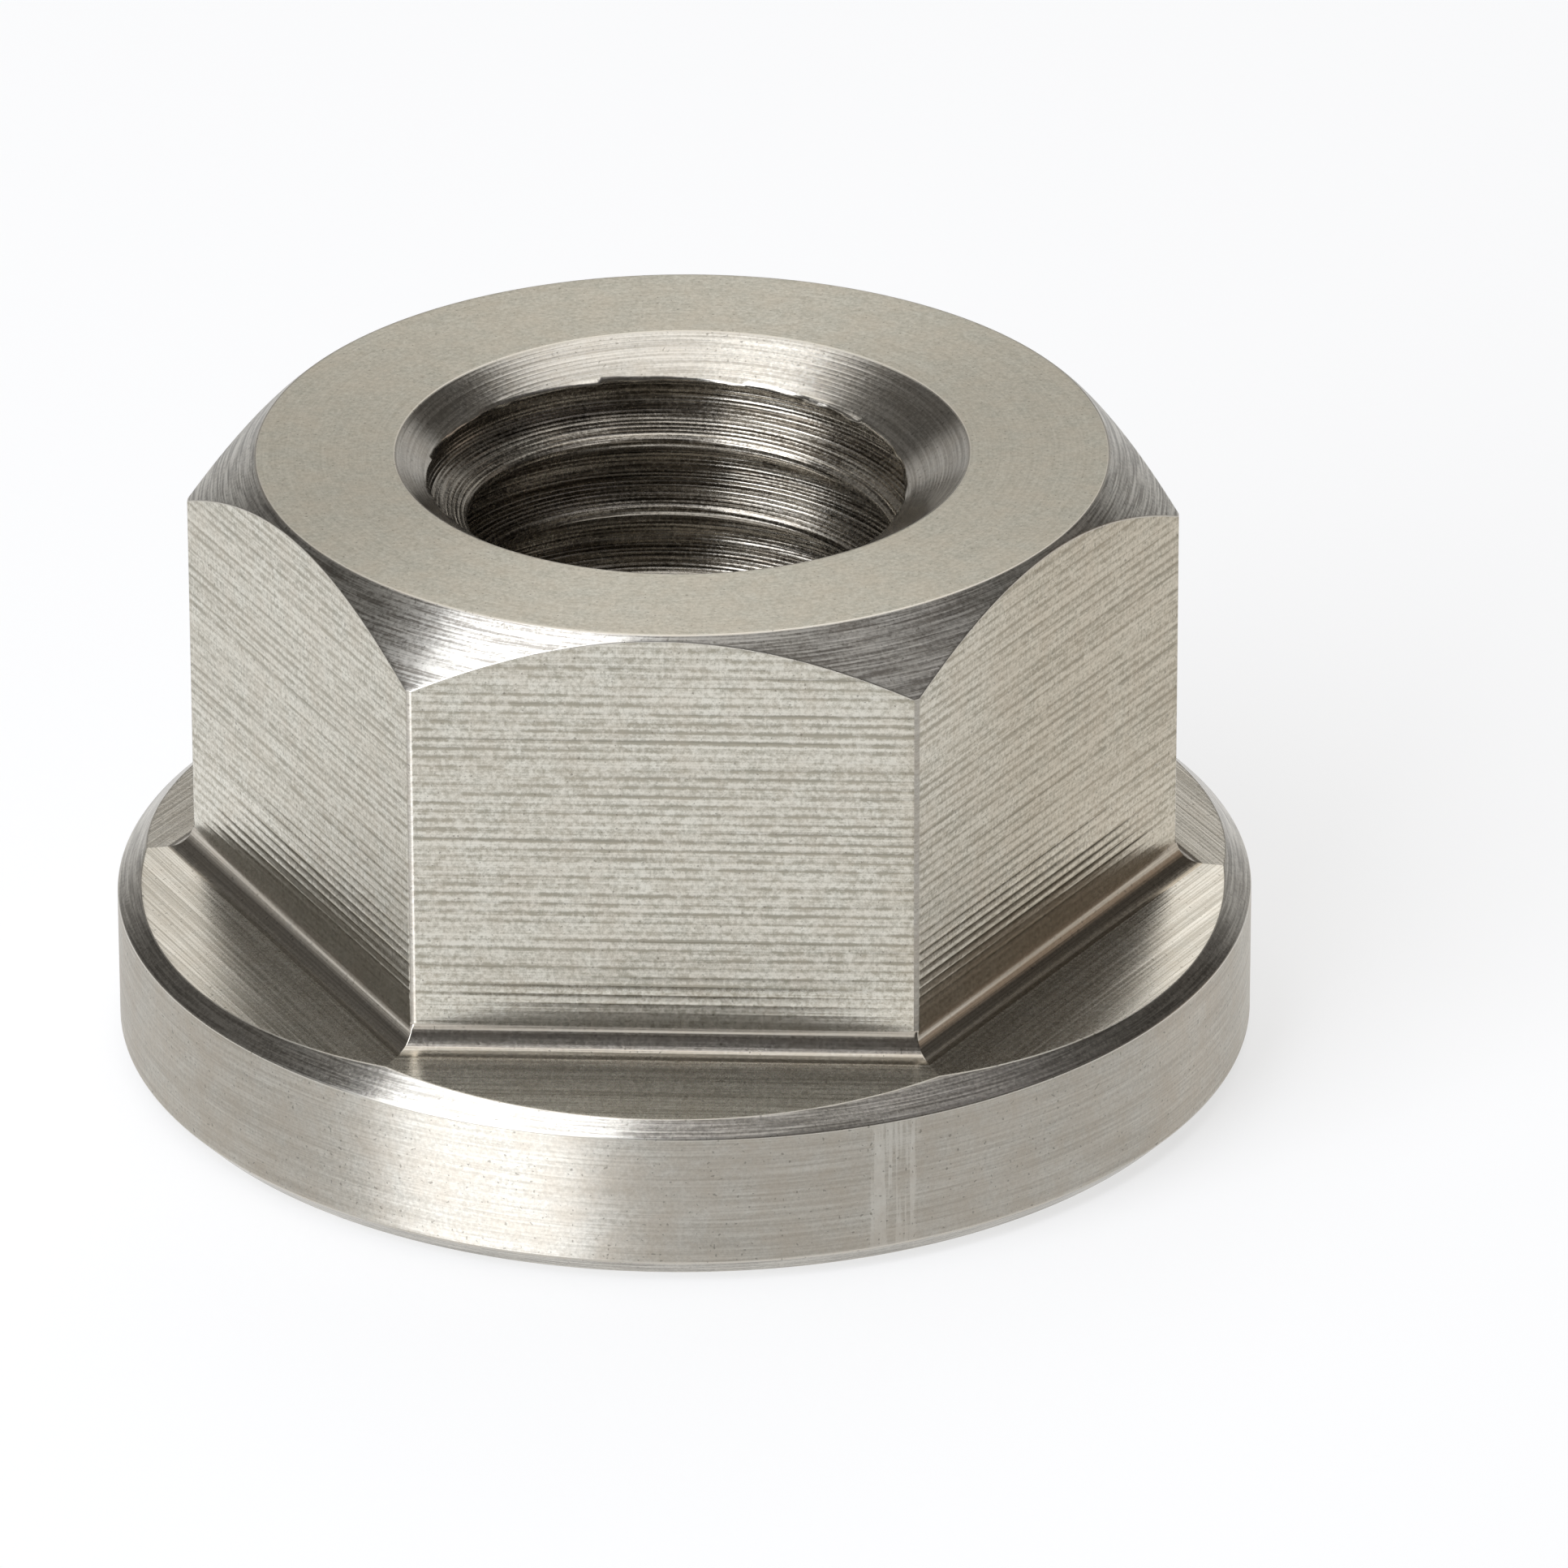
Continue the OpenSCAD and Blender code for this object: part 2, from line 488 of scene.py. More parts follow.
# On a cone U is the way down its slope, counted from the join
cone_u = (thread_values(np.minimum(wall, JOIN_R), JOIN_R) - JOIN_R) * np.hypot(1, 1 / SINK_SPREAD)
tool_u = np.where(on_cone[:, None], cone_u, split(np.concatenate([skin_u, groove_u]))[whole])
tool_v = split(np.concatenate([skin_v, groove_v]))[whole]
tool_v[on_cone] *= TURNED_V_R / THREAD_V_R
print("U runs from", round(float(tool_u.min()), 2), "to", round(float(tool_u.max()), 2), "mm")

# %% Put the mesh together
mesh = bpy.data.meshes.new("nut_body")
mesh.vertices.add(len(points))
mesh.vertices.foreach_set("co", points.ravel())
mesh.loops.add(triangles.size)
mesh.loops.foreach_set("vertex_index", triangles.ravel().astype(np.int32))
mesh.polygons.add(len(triangles))
mesh.polygons.foreach_set("loop_start", np.arange(0, triangles.size, 3, dtype=np.int32))
mesh.polygons.foreach_set("material_index", finish.astype(np.int32))
mesh.update(calc_edges=True)
tool_path = mesh.uv_layers.new(name="tool_path")
tool_path.data.foreach_set("uv", np.stack([tool_u, tool_v], axis=-1).ravel())
mesh.shade_smooth()
nut = bpy.data.objects.new("nut_body", mesh)
bpy.context.scene.collection.objects.link(nut)
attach(nut, "root")
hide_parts("flange_nut")
print("mesh changed by validation:", mesh.validate())

# %% [markdown]
# ## Colours and nodes
#
# A hex colour is what a screen shows, and a shader wants light, so one function turns the
# first into the second. One more adds a node with its settings and links, and gives back
# its outputs.
#
# Its inputs are named by their number where that is shorter. In a Map Range, 0 is the value,
# 1 and 2 are the range that it comes from, and 3 and 4 the range that it goes to. In a Mix
# of colours, 0 is the share of the second one, 6 the first and 7 the second.

# %% Two helpers


def linear(hex_colour):
    """sRGB hex, such as C8C4BA, as linear red, green, blue and alpha."""
    parts = np.array([int(hex_colour[i:i + 2], 16) for i in (0, 2, 4)]) / 255
    dark_part, light_part = parts / 12.92, ((parts + 0.055) / 1.055) ** 2.4
    return (*np.where(parts <= 0.04045, dark_part, light_part), 1.0)


def node(tree, kind, links=None, **settings):
    """Outputs of a new node, after its settings, its values and its links are set."""
    made = tree.nodes.new("ShaderNode" + kind)
    for name, value in settings.items():
        setattr(made, name, value)
    for name, value in (links or {}).items():
        if isinstance(value, bpy.types.NodeSocket):
            tree.links.new(value, made.inputs[name])
        else:
            made.inputs[name].default_value = value
    return made.outputs


print("a mid grey, 808080, is", round(float(linear("808080")[0]), 3), "of full light")

# %% [markdown]
# ## Machined stainless steel
#
# Stainless steel has one colour, a warm light grey. What sets a milled flat apart from a
# turned collar is the shape of the marks that the tool left, far finer than a mesh can hold.
# A picture of brushed steel could be wrapped round the nut, but its marks wouldn't follow
# the tool. So the marks are worked out from the map of the tool's path, and every finish is
# the same recipe with its own sizes and shades.

# %% What makes a finish


@dataclass
class Finish:
    """Sizes and shades of one machined finish. Sizes are in millimetres."""
    # The lightest and the darkest steel between the marks
    light: str = "D4D0C7"
    dark: str = "B4B0A6"
    # How far a reflection spreads, and how much further across the marks than along them
    roughness: float = 0.3
    anisotropy: float = 0.5
    # From one line of the tool to the next, how deep it cuts, and how much its lines differ
    feed: float = 0.1
    depth: float = 0.004
    uneven: float = 0.5
    # Width and depth of the streaks between the lines, and the length of lines and streaks
    streak: float = 0.05
    streak_depth: float = 0.001
    length: float = 3.0
    # Height of the grain
    grain: float = 0.0
    # How far streaks and grain pull the tone from dark to light, and how much shade is painted along the
    # lines
    contrast: float = 0.5
    mottle: float = 0.0
    painted_line_shade: float = 0.0
    # The most of a warm haze, and how strong the painted shade is on the side towards +X
    tint: float = 0.25
    right_shade: float = 0.0
    # The U where the lines have faded, with the roughness there, and the V of a rubbed mark
    foot: tuple = None
    rub: float = None


# %% [markdown]
# ## Where a point lies
#
# Every pattern starts from a place. Lines and streaks are noise that is stretched along the
# tool's path: across the marks it follows U, which counts fast, and along them the nut's own
# X and Y, divided by a length of some millimetres, so it changes slowly. Grain and clouds
# are the same in all directions, so they read the nut's X, Y and Z.

# %% Places for the patterns
# Most of what a noise gives lies in this range
MOST_NOISE = {1: 0.3, 2: 0.7}
SOFT = "SMOOTHSTEP"


def places(tree, look):
    """Outputs that say where a point lies: U and V, the place in the nut in millimetres, its
    X, Y and Z, then X and Y over the length of the marks, and U over the feed."""
    path = node(tree, "SeparateXYZ", {0: node(tree, "UVMap", uv_map="tool_path")[0]})
    metres = node(tree, "TexCoord")["Object"]
    mm = node(tree, "VectorMath", {0: metres, "Scale": 1 / MM}, operation="SCALE")[0]
    xyz = node(tree, "SeparateXYZ", {0: mm})
    run_x = node(tree, "Math", {0: xyz[0], 1: look.length}, operation="DIVIDE")[0]
    run_y = node(tree, "Math", {0: xyz[1], 1: look.length}, operation="DIVIDE")[0]
    line = node(tree, "Math", {0: path[0], 1: look.feed}, operation="DIVIDE")[0]
    return SimpleNamespace(u=path[0], v=path[1], mm=mm, x=xyz[0], y=xyz[1], z=xyz[2],
                           run_x=run_x, run_y=run_y, line=line)


# %% [markdown]
# ## Lines and streaks of the tool
#
# Each pass of a round-nosed tool leaves a shallow trough, and two troughs meet in a cusp, so
# the height across the marks is the square of the distance from the trough's middle. A
# Wave texture draws such lines too, but all of them alike. No two real passes cut alike,
# so a slow noise makes each line swell and shrink.
#
# Small tears and scratches run along the same path as streaks. The real ones are finer than
# a pixel, so they are drawn 0.04 or 0.05 mm wide, which is three. Towards the foot of a
# flat the lines fade, because the cutter's round corner smooths them.

# %% Marks that the tool leaves
# Over this length above the foot, in millimetres
LINES_FADE = 1.0


def tool_lines(tree, at, look):
    """Height of the cusps, 1 on average where two troughs meet: the square of the distance
    from the trough's middle, which runs from -1 to 1, times a slow swing."""
    across = node(tree, "Math", {0: at.line}, operation="FRACT")[0]
    off_middle = node(tree, "MapRange", {0: across, 1: 0.0, 2: 1.0, 3: -1.0, 4: 1.0})[0]
    square = node(tree, "Math", {0: off_middle, 1: off_middle}, operation="MULTIPLY")[0]
    place = node(tree, "CombineXYZ", {0: at.run_x, 1: at.run_y, 2: at.line})[0]
    slow = node(tree, "TexNoise", {"Vector": place, "Scale": 1.0, "Detail": 1.0})[0]
    swing = {3: 1 - look.uneven, 4: 1 + look.uneven}
    strength = node(tree, "MapRange", {0: slow, **MOST_NOISE, **swing})[0]
    if look.foot:
        fade = {1: look.foot[0] - LINES_FADE, 2: look.foot[0], 3: 1.0, 4: 0.0}
        kept = node(tree, "MapRange", {0: at.u, **fade}, interpolation_type=SOFT)[0]
        strength = node(tree, "Math", {0: strength, 1: kept}, operation="MULTIPLY")[0]
    return node(tree, "Math", {0: square, 1: strength}, operation="MULTIPLY")[0]


def tool_streaks(tree, at, look):
    """Noise one streak wide across the marks and stretched along them."""
    across = node(tree, "Math", {0: at.u, 1: look.streak}, operation="DIVIDE")[0]
    place = node(tree, "CombineXYZ", {0: at.run_x, 1: at.run_y, 2: across})[0]
    return node(tree, "TexNoise", {"Vector": place, "Scale": 1.0, "Detail": 3.0, "Roughness": 0.6})[0]


# %% [markdown]
# ## Relief
#
# The marks are a few thousandths of a millimetre deep. To displace the mesh by them would
# take millions of faces, so the mesh stays smooth and a Bump node tilts its normals as if
# they were there. It wants heights, so lines, streaks and grain are added up, each times
# its depth in millimetres.

# %% Bend the normal


def relief(tree, look, lines, streaks, specks):
    """Normal bent by a height in millimetres: the sum of lines, streaks and grain, each
    times its depth."""
    cut = node(tree, "Math", {0: lines, 1: look.depth}, operation="MULTIPLY")[0]
    torn = node(tree, "Math", {0: streaks, 1: look.streak_depth, 2: cut}, operation="MULTIPLY_ADD")[0]
    grained = node(tree, "Math", {0: specks, 1: look.grain, 2: torn}, operation="MULTIPLY_ADD")[0]
    return node(tree, "Bump", {"Height": grained, "Distance": MM, "Strength": 1.0})[0]


# %% [markdown]
# ## Light and dark between the marks
#
# A bump alone shows only where it catches the light, and the flats mirror the even white
# floor, so their lines would hardly show. So shade is painted into the colour along each line,
# where two passes meet. Tone is a number from 0, the finish's dark shade, to 1, its light one,
# and each kind of mark pulls it up or down. On the flats the painted dark lines break off and
# start again every half millimetre or so, like dashes drawn with a dry pen.

# %% Tone from the marks, with painted shade along the lines
DASH_LENGTH = 0.4
DASHES = {1: 0.35, 2: 0.65, 3: 0.4, 4: 1.6}
# Over one trough the square of the distance has this mean, which is taken off again
MEAN_SQUARE = 1 / 3
# The rubbed mark on the collar: width and height of its strokes, and its own half width
STROKE_WIDTH = 0.09
STROKE_HEIGHT = 3.0
STROKES = {1: 0.45, 2: 0.6, 3: 0.0, 4: 1.0}
RUB_WIDTH = {1: 0.3, 2: 0.5, 3: 1.5, 4: 0.0}


def with_line_shade(tree, at, look, lines, tone):
    """Tone plus painted shade along the lines, broken up into dashes."""
    dash_x = node(tree, "Math", {0: at.x, 1: DASH_LENGTH}, operation="DIVIDE")[0]
    dash_y = node(tree, "Math", {0: at.y, 1: DASH_LENGTH}, operation="DIVIDE")[0]
    place = node(tree, "CombineXYZ", {0: dash_x, 1: dash_y, 2: at.line})[0]
    broken = node(tree, "TexNoise", {"Vector": place, "Scale": 1.0, "Detail": 1.0})[0]
    dashes = node(tree, "MapRange", {0: broken, **DASHES})[0]
    drawn = node(tree, "Math", {0: lines, 1: dashes}, operation="MULTIPLY")[0]
    mean = look.painted_line_shade * MEAN_SQUARE
    level = node(tree, "Math", {0: tone, 1: mean}, operation="SUBTRACT")[0]
    return node(tree, "Math", {0: drawn, 1: look.painted_line_shade, 2: level}, operation="MULTIPLY_ADD")[0]


def with_rub(tree, at, look, tone):
    """Tone plus a mark rubbed into the collar: bright upright strokes in a narrow band of V."""
    apart = node(tree, "Math", {0: at.v, 1: look.rub}, operation="SUBTRACT")[0]
    distance = node(tree, "Math", {0: apart}, operation="ABSOLUTE")[0]
    near = node(tree, "MapRange", {0: distance, **RUB_WIDTH})[0]
    sideways = node(tree, "Math", {0: at.v, 1: STROKE_WIDTH}, operation="DIVIDE")[0]
    upwards = node(tree, "Math", {0: at.z, 1: STROKE_HEIGHT}, operation="DIVIDE")[0]
    place = node(tree, "CombineXYZ", {0: sideways, 1: upwards})[0]
    upright = node(tree, "TexNoise", {"Vector": place, "Scale": 1.0})[0]
    strokes = node(tree, "MapRange", {0: upright, **STROKES})[0]
    return node(tree, "Math", {0: strokes, 1: near, 2: tone}, operation="MULTIPLY_ADD")[0]


def mark_tone(tree, at, look, lines, streaks, specks):
    """Tone from 0, dark, to 1, light: streaks round the middle, plus painted line shade, grain and rub."""
    contrast = {3: 0.5 - look.contrast, 4: 0.5 + look.contrast}
    tone = node(tree, "MapRange", {0: streaks, **MOST_NOISE, **contrast})[0]
    if look.painted_line_shade:
        tone = with_line_shade(tree, at, look, lines, tone)
    spots = node(tree, "MapRange", {0: specks, **MOST_NOISE, 3: -look.mottle, 4: look.mottle})[0]
    tone = node(tree, "Math", {0: tone, 1: spots}, operation="ADD")[0]
    if look.rub:
        tone = with_rub(tree, at, look, tone)
    return node(tree, "Math", {0: tone, 1: 0.0}, operation="ADD", use_clamp=True)[0]


# %% [markdown]
# ## Colour
#
# Clean steel would be one even grey and look like plastic. Over its two shades lie clouds
# of a warm haze, where dried coolant dulls it, and small dark pits. On the side towards +X
# painted shade darkens it too, most of all in the blue, because the flats and fillets there
# mirror the nut's shadow on the floor. Haze clouds are a little under a millimetre wide, and
# a pit is about 0.07 mm, which is four pixels.

# %% Steel, haze, painted shade on the right and pits
HAZE = "C7BAA8"
CLOUDS_PER_MM = 1.3
MOST_CLOUDS = {1: 0.35, 2: 0.65}
# Painted shade on the side towards +X, warm and darkest in the blue, where flats and fillets mirror the
# nut's shadow on the floor; it grows between these X in millimetres
RIGHT_SHADE_COLOUR = "D9CDBB"
RIGHT_SHADE_EDGE = {1: 4.0, 2: 7.0}
PIT = "6B665B"
PITS_PER_MM = 14.0
# Only the rare peaks of this noise are pits, and they are half covered
PIT_PEAKS = {1: 0.76, 2: 0.8, 3: 0.0, 4: 0.5}


def steel_colour(tree, at, look, tone):
    """The finish's dark and light shade mixed by tone, then haze, painted shade on the right side and pits
    over them.
    """
    shades = {0: tone, 6: linear(look.dark), 7: linear(look.light)}
    steel = node(tree, "Mix", shades, data_type="RGBA")[2]

    clouds = {"Vector": at.mm, "Scale": CLOUDS_PER_MM, "Detail": 4.0, "Roughness": 0.7}
    cloud = node(tree, "TexNoise", clouds)[0]
    haze = node(tree, "MapRange", {0: cloud, **MOST_CLOUDS, 3: 0.0, 4: look.tint})[0]
    hazy = node(tree, "Mix", {0: haze, 6: steel, 7: linear(HAZE)}, data_type="RGBA")[2]

    right_shading = node(tree, "MapRange", {0: at.x, **RIGHT_SHADE_EDGE, 3: 0.0, 4: look.right_shade})[0]
    right_shade_mix = {0: right_shading, 6: hazy, 7: linear(RIGHT_SHADE_COLOUR)}
    right_shaded = node(tree, "Mix", right_shade_mix, data_type="RGBA", blend_type="MULTIPLY")[2]

    peaks = node(tree, "TexNoise", {"Vector": at.mm, "Scale": PITS_PER_MM, "Detail": 0.0})[0]
    pit = node(tree, "MapRange", {0: peaks, **PIT_PEAKS})[0]
    return node(tree, "Mix", {0: pit, 6: right_shaded, 7: linear(PIT)}, data_type="RGBA")[2]


# %% [markdown]
# ## Roughness
#
# Grain makes every reflection a little uneven. Near the foot of a flat the cutter's corner
# has rubbed the steel smooth, so it turns from satin to nearly a mirror. On the real nut
# that polish reaches higher on the flats at the sides than on the one in front. X tells
# them apart, because the front and back flats stay within 5 mm of the middle.

# %% How dull a point is
GRAIN_DULLS = 0.03
SIDE_FLATS = {1: 4.0, 2: 6.0}
POLISH_REACH = {3: 1.5, 4: 3.4}


def dullness(tree, at, look, specks):
    """Roughness: the finish's own, a little up and down with the grain. On a flat it slides
    to the foot's own over the polish's reach above the foot."""
    grain = {3: look.roughness - GRAIN_DULLS, 4: look.roughness + GRAIN_DULLS}
    dull = node(tree, "MapRange", {0: specks, **MOST_NOISE, **grain})[0]
    if not look.foot:
        return dull
    foot_u, foot_roughness = look.foot
    aside = node(tree, "Math", {0: at.x}, operation="ABSOLUTE")[0]
    polished = node(tree, "MapRange", {0: aside, **SIDE_FLATS, **POLISH_REACH})[0]
    starts = node(tree, "Math", {0: foot_u, 1: polished}, operation="SUBTRACT")[0]
    slide = {0: at.u, 1: starts, 2: foot_u, 3: dull, 4: foot_roughness}
    return node(tree, "MapRange", slide, interpolation_type=SOFT)[0]


# %% [markdown]
# ## The recipe
#
# Marks also stretch every reflection across themselves. The shader's anisotropy does that for
# marks too fine to draw, with its tangent along U of the map. A metal's colour says how it
# reflects, so its IOR stays as it is.
#
# The picture has about 62 pixels to a millimetre. The real grain is a hundredth of a
# millimetre or two, a pixel at most and too fine to show, so it is drawn as coarse as it
# needs to show: 13 spots to a millimetre, five pixels each.

# %% One builder for every machined finish
SPECKS_PER_MM = 13.0


def machined(name, look):
    """A material of solid steel with that finish: its marks bend the normal, shade the
    colour and set the roughness."""
    material = bpy.data.materials.new(name)
    material.use_nodes = True
    tree = material.node_tree
    tree.nodes.clear()
    at = places(tree, look)
    grain = {"Vector": at.mm, "Scale": SPECKS_PER_MM, "Detail": 2.0, "Roughness": 0.7}
    specks = node(tree, "TexNoise", grain)[0]
    lines = tool_lines(tree, at, look)
    streaks = tool_streaks(tree, at, look)
    tone = mark_tone(tree, at, look, lines, streaks, specks)
    steel = node(tree, "BsdfPrincipled", {
        "Base Color": steel_colour(tree, at, look, tone),
        "Metallic": 1.0,
        "Roughness": dullness(tree, at, look, specks),
        "Anisotropic": look.anisotropy,
        "Normal": relief(tree, look, lines, streaks, specks),
        "Tangent": node(tree, "Tangent", direction_type="UV_MAP", uv_map="tool_path")[0],
    })[0]
    node(tree, "OutputMaterial", {"Surface": steel})
    return material


# %% [markdown]
# ## What the lathe left
#
# A finishing cut has a feed of about 0.05 mm, three pixels here and too fine to show. It is
# drawn as 0.07 to 0.1 mm. The tool's point, its angle and how lightly it cut decide how
# bright and how streaky each surface is.

# %% Turned steel
finishes = {}
# The top and the seat, faced with a fine even cut: flat satin with grain and a warm haze
finishes[FACE] = machined("turned_face", Finish(
    light="CCC9BE", dark="A09D91", roughness=0.34, anisotropy=0.6,
    feed=0.1, depth=0.0004, streak=0.04, streak_depth=0.0004, grain=0.0006,
    contrast=0.15, mottle=0.4, tint=0.3))
# The countersinks, cut with a smooth conical tool: bright rings that mirror the hole's far side
finishes[SINK] = machined("turned_countersink", Finish(
    light="E0DCD3", dark="ADA9A0", roughness=0.2, anisotropy=0.6,
    feed=0.09, depth=0.001, streak_depth=0.001, contrast=0.6, mottle=0.3))
# The top chamfer, cut slantwise in a few passes: silvery, with short dark streaks
finishes[CHAMFER] = machined("turned_chamfer", Finish(
    light="D2CFC7", dark="85817A", roughness=0.32, anisotropy=0.8,
    feed=0.07, depth=0.001, streak_depth=0.0009, length=1.5,
    contrast=0.8, mottle=0.3, tint=0.1))
# The collar's chamfers, the same cut done lightly: smoother, so they mirror the dim room
finishes[RING] = machined("turned_ring", Finish(
    light="CECAC1", dark="928E86", roughness=0.24, anisotropy=0.6,
    feed=0.07, depth=0.0006, streak_depth=0.0007, length=1.5,
    contrast=0.7, mottle=0.3, tint=0.1))
# The collar's side, turned very finely: it draws the lamp out into one upright white band,
# and something has rubbed an upright mark into it, a little to the right of the front
RUB_FROM_FRONT = np.radians(23.7)
finishes[COLLAR] = machined("turned_collar", Finish(
    light="E4E0D6", dark="BEB9AE", roughness=0.42, anisotropy=0.97,
    feed=0.1, depth=0.0004, streak_depth=0.0006, grain=0.0005,
    contrast=0.45, mottle=0.4, tint=0.4, rub=(RUB_FROM_FRONT - np.pi / 2) * TURNED_V_R))
print("turned:", [material.name for material in finishes.values()])

# %% [markdown]
# ## What the mill left
#
# The lines on the flats are 0.195 mm apart, which is measured: twelve pixels, so each one
# shows. The fillet and the facet were cut by the corner and the end of the same cutter, with
# marks too fine to show, which are drawn 0.12 mm apart.

# %% Milled steel
# The flats, cut by the cutter's side: straight lines of painted shade on satin, polished at the foot
FOOT_ROUGHNESS = 0.15
finishes[FLAT] = machined("milled_flat", Finish(
    light="E1DED3", dark="A6A294", roughness=0.36, anisotropy=0.6,
    feed=0.195, depth=0.006, uneven=0.8, streak_depth=0.0015, length=7.0, grain=0.001,
    contrast=0.35, mottle=0.5, painted_line_shade=-0.7, right_shade=0.55,
    foot=(FLAT_D - fillet_z, FOOT_ROUGHNESS)))
# The fillets, burnished by its round corner: nearly mirrors, with bands of wall and floor
finishes[FILLET] = machined("milled_fillet", Finish(
    light="D0CABF", dark="A59F94", roughness=0.19, anisotropy=0.2,
    feed=0.12, depth=0.0004, streak_depth=0.0006, length=6.0,
    contrast=0.5, mottle=0.2, right_shade=0.5))
# The facets, cut by its end: streaked satin that is light on one side and dark in front
finishes[FACET] = machined("milled_facet", Finish(
    light="F0ECE3", dark="C0BCB2", roughness=0.27, anisotropy=0.35,
    feed=0.12, depth=0.0006, streak_depth=0.003, length=6.0,
    contrast=0.9, mottle=0.2))
print("milled:", [finishes[number].name for number in MILLED])

# %% [markdown]
# ## Edges and thread
#
# A brush takes the burr off every edge and leaves it smoother than the surfaces beside it.
# A tap tears as much as it cuts, and the thread's dark shade is painted shade of the deep hole. Its marks
# run along the groove, drawn 0.095 mm apart and rougher than any other.

# %% Broken edges and the cut thread
# The broken edges, brushed smooth: thin bright lines round every surface
finishes[EDGE] = machined("broken_edge", Finish(
    roughness=0.3, anisotropy=0.3,
    feed=0.1, depth=0.0005, streak_depth=0.001, contrast=0.2))
# The thread, torn: deep streaks along the groove, nearly black in places, a dark shade that also paints
# the shade of the deep hole
finishes[THREAD] = machined("cut_thread", Finish(
    light="E0DACE", dark="453F36", roughness=0.26, anisotropy=0.6,
    feed=0.095, depth=0.01, uneven=0.9, streak_depth=0.006, grain=0.0015,
    contrast=0.9, mottle=0.35))
for number_of_finish in sorted(finishes):
    mesh.materials.append(finishes[number_of_finish])
print("finishes:", [material.name for material in mesh.materials])

# %% [markdown]
# ## The floor
#
# White paper lies under the nut. In a studio it would curve up behind it, but the camera
# looks down steeply enough for a flat sheet to run on past the picture's edge. Camera and
# steel see it partly as plain white light, which keeps the background white and lets the
# nut's soft shadow show on it only lightly, as on a bright studio table.

# %% White paper
FLOOR_HALF = 3.0
WHITE_SHARE = 0.67
corners = np.array([(-1, -1, 0), (1, -1, 0), (1, 1, 0), (-1, 1, 0)]) * FLOOR_HALF
floor_mesh = bpy.data.meshes.new("floor")
floor_mesh.from_pydata(corners.tolist(), [], [(0, 1, 2, 3)])
floor = bpy.data.objects.new("floor", floor_mesh)
bpy.context.scene.collection.objects.link(floor)

# Uncoated paper scatters light evenly, so it shows the shadow and no shine
paper = bpy.data.materials.new("white_paper")
paper.use_nodes = True
sheet_tree = paper.node_tree
sheet_tree.nodes.clear()
ray = node(sheet_tree, "LightPath")
looked_at = {0: ray["Is Camera Ray"], 1: ray["Is Glossy Ray"]}
seen = node(sheet_tree, "Math", looked_at, operation="ADD")[0]
looked_through = {0: seen, 1: ray["Is Transmission Ray"]}
seen = node(sheet_tree, "Math", looked_through, operation="ADD", use_clamp=True)[0]
white_part = node(sheet_tree, "Math", {0: seen, 1: WHITE_SHARE}, operation="MULTIPLY")[0]
sheet = node(sheet_tree, "BsdfDiffuse", {"Color": linear("FDFDFD")})[0]
white = node(sheet_tree, "Emission", {"Color": linear("FFFFFF"), "Strength": 1.0})[0]
mixed = node(sheet_tree, "MixShader", {0: white_part, 1: sheet, 2: white})[0]
node(sheet_tree, "OutputMaterial", {"Surface": mixed})
floor_mesh.materials.append(paper)
print("the floor is", 2 * FLOOR_HALF, "metres wide")

# %% [markdown]
# ## The studio
#
# Polished steel is a picture of the room around it. The room here is dim, with a pale wall
# behind the nut, a soft light overhead and a little light from the right. Walls and lamps
# could be built round the nut, but they would cost more time to render than they show. So
# each is a round patch of the sky with a soft rim, worked out from the angle between the
# view into the sky and the middle of the patch.

# %% Sky with soft patches
SKY = "514F4D"
PATCHES = [
    # azimuth, elevation, inner and outer angle of the rim, colour, strength
    # The soft light overhead, and the pale wall below it
    (180, 72, 28, 34, "FFFFFF", 1.25),
    (180, 35, 8, 18, "FFFDF8", 1.08),
    # Light low on the wall at either side, which the flats at the sides mirror
    (155, 9, 6, 20, "FFFFFF", 0.42),
    (-155, 9, 6, 20, "FFFFFF", 0.34),
    # The front rim of the overhead light, and a weak one from the right
    (15, 71, 5, 13, "F6F6FF", 0.33),
    (76, 55, 8, 24, "F4F2FF", 0.14),
    # A warm glow in the right fillets, a grey one in the left, and a dim wall to the left
    (118, 5, 8, 16, "FFE9D8", 0.4),
    (-116, 4, 6, 12, "FFFFFF", 0.25),
    (-115, 38, 12, 34, "FFFFFF", 0.04),
]


def bearing(azimuth, elevation):
    """Unit vector at that azimuth from the front, to the right, and that elevation."""
    a, e = np.radians(azimuth), np.radians(elevation)
    return Vector((np.sin(a) * np.cos(e), -np.cos(a) * np.cos(e), np.sin(e)))


world = bpy.data.worlds.new("studio")
bpy.context.scene.world = world
world.use_nodes = True
sky_tree = world.node_tree
sky_tree.nodes.clear()
way = node(sky_tree, "TexCoord")["Generated"]
glow = linear(SKY)[:3]
for azimuth, elevation, inner, outer, colour, strength in PATCHES:
    centre = bearing(azimuth, elevation)
    nearness = node(sky_tree, "VectorMath", {0: way, 1: centre}, operation="DOT_PRODUCT")["Value"]
    rim = {1: np.cos(np.radians(outer)), 2: np.cos(np.radians(inner)), 3: 0.0, 4: strength}
    amount = node(sky_tree, "MapRange", {0: nearness, **rim}, interpolation_type=SOFT)[0]
    tinted = node(sky_tree, "VectorMath", {0: linear(colour)[:3], "Scale": amount}, operation="SCALE")[0]
    glow = node(sky_tree, "VectorMath", {0: glow, 1: tinted}, operation="ADD")[0]
backdrop = node(sky_tree, "Background", {"Color": glow, "Strength": 1.0})[0]
node(sky_tree, "OutputWorld", {"Surface": backdrop})
print("patches in the sky:", len(PATCHES))

# %% [markdown]
# ## The key light
#
# One large softbox stands to the left in front of the nut. It draws the white band down the
# collar and across the top chamfer, and it lays the shadow to the right. A patch of sky is
# endlessly far away, but a softbox stands near, so it is a real area lamp. It leans, so
# its top reaches further to the left than its foot.

# %% Softbox


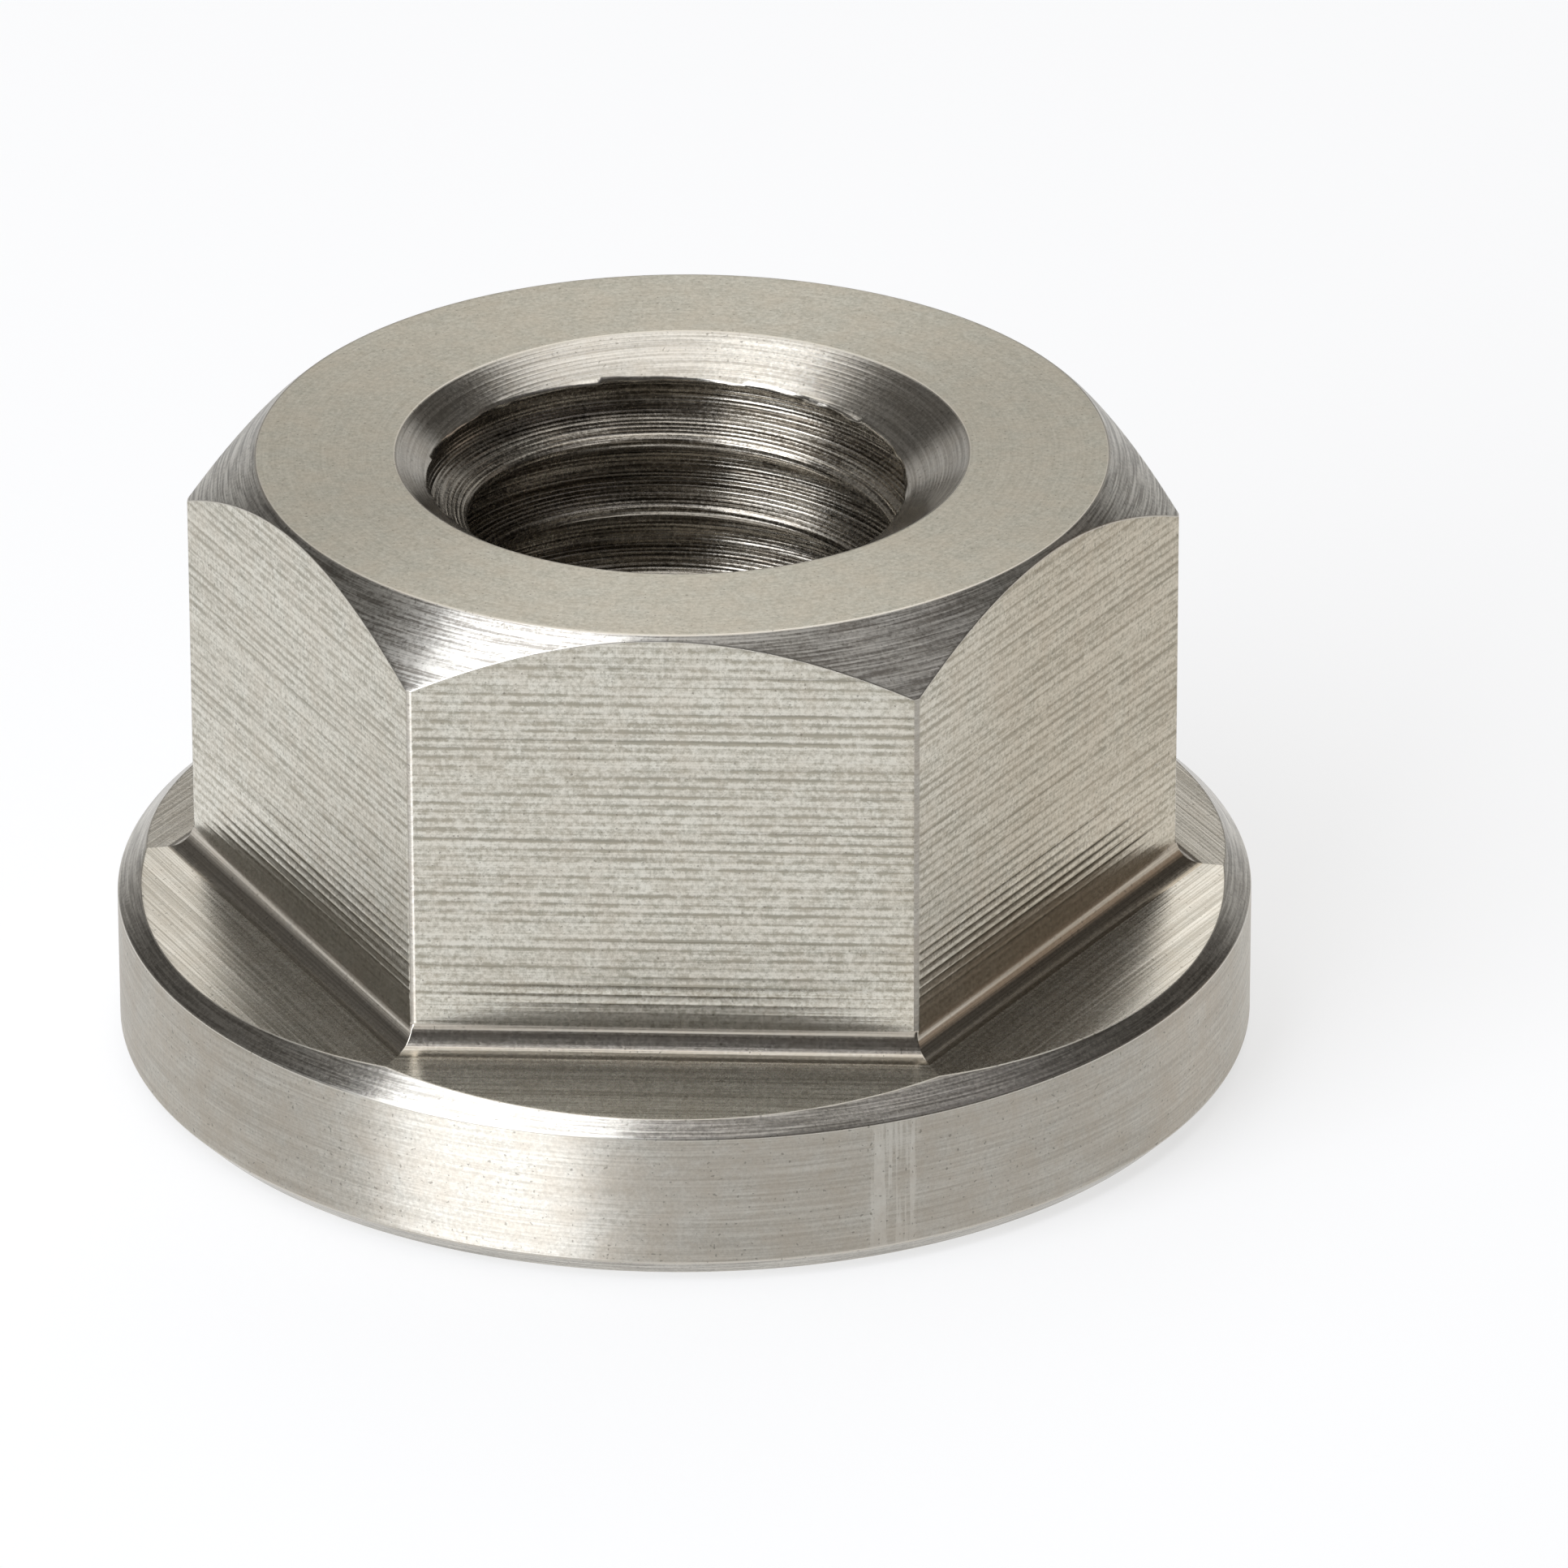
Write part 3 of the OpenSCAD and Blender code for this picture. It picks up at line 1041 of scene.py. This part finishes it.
def softbox(name, azimuth, elevation, distance, size, lean, power):
    """Area lamp at that bearing from the nut, facing it, turned by lean about its own axis."""
    data = bpy.data.lights.new(name, "AREA")
    data.shape = "RECTANGLE"
    data.size, data.size_y = size
    data.energy = power
    data.color = linear("F3F7FF")[:3]
    made = bpy.data.objects.new(name, data)
    made.location = bearing(azimuth, elevation) * distance
    made.rotation_mode = "QUATERNION"
    upright = bearing(azimuth, elevation).to_track_quat("Z", "Y")
    made.rotation_quaternion = upright @ Quaternion((0, 0, 1), np.radians(lean))
    bpy.context.scene.collection.objects.link(made)
    return made


key = softbox("key", azimuth=-39.5, elevation=32, distance=0.4, size=(0.27, 0.67), lean=13, power=2.42)
print("the softbox stands at", [round(1000 * side) for side in key.location], "mm")

# %% [markdown]
# ## The camera
#
# The camera stands where the picture was taken from: its distance, height and lens were
# fitted to the nut's corners, edges and circles. A Track To constraint would keep it level,
# but the real one was tilted a little. So a matrix places it, made of the directions right,
# up and back, and of the eye.

# %% Camera
# Lengths in millimetres: from the middle of the nut, the lens and the sensor
CAMERA_DISTANCE = 297.59
CAMERA_AZIMUTH = np.radians(2.782)
CAMERA_ELEVATION = np.radians(26.071)
CAMERA_AIM = (1.988, 0.0, 5.166)
CAMERA_ROLL = np.radians(-0.124)
FOCAL = 344.2
SENSOR = 36

camera_data = bpy.data.cameras.new("camera")
camera = bpy.data.objects.new("camera", camera_data)
bpy.context.scene.collection.objects.link(camera)
bpy.context.scene.camera = camera
camera_data.sensor_width = SENSOR
camera_data.lens = FOCAL
camera_data.clip_start, camera_data.clip_end = 0.01, 20


def turned(x, y, z):
    """A point in millimetres turned about the axis by the camera's azimuth, in metres."""
    c, s = np.cos(CAMERA_AZIMUTH), np.sin(CAMERA_AZIMUTH)
    return np.array([x * c - y * s, x * s + y * c, z]) * MM


def unit(vector):
    """The vector at length one."""
    return vector / np.linalg.norm(vector)


rise = CAMERA_DISTANCE * np.sin(CAMERA_ELEVATION)
eye = turned(0, -CAMERA_DISTANCE * np.cos(CAMERA_ELEVATION), HEIGHT / 2 + rise)
ahead = unit(turned(*CAMERA_AIM) - eye)
level_right = unit(np.cross(ahead, [0, 0, 1]))
right = np.cos(CAMERA_ROLL) * level_right + np.sin(CAMERA_ROLL) * np.cross(level_right, ahead)
above = np.cross(right, ahead)
camera.matrix_world = np.vstack([np.column_stack([right, above, -ahead, eye]), [0, 0, 0, 1]]).T
print("at the nut a picture is", round(CAMERA_DISTANCE * SENSOR / FOCAL, 1), "mm wide")

# %% View and sizes
bpy.context.scene.view_settings.view_transform = "Standard"
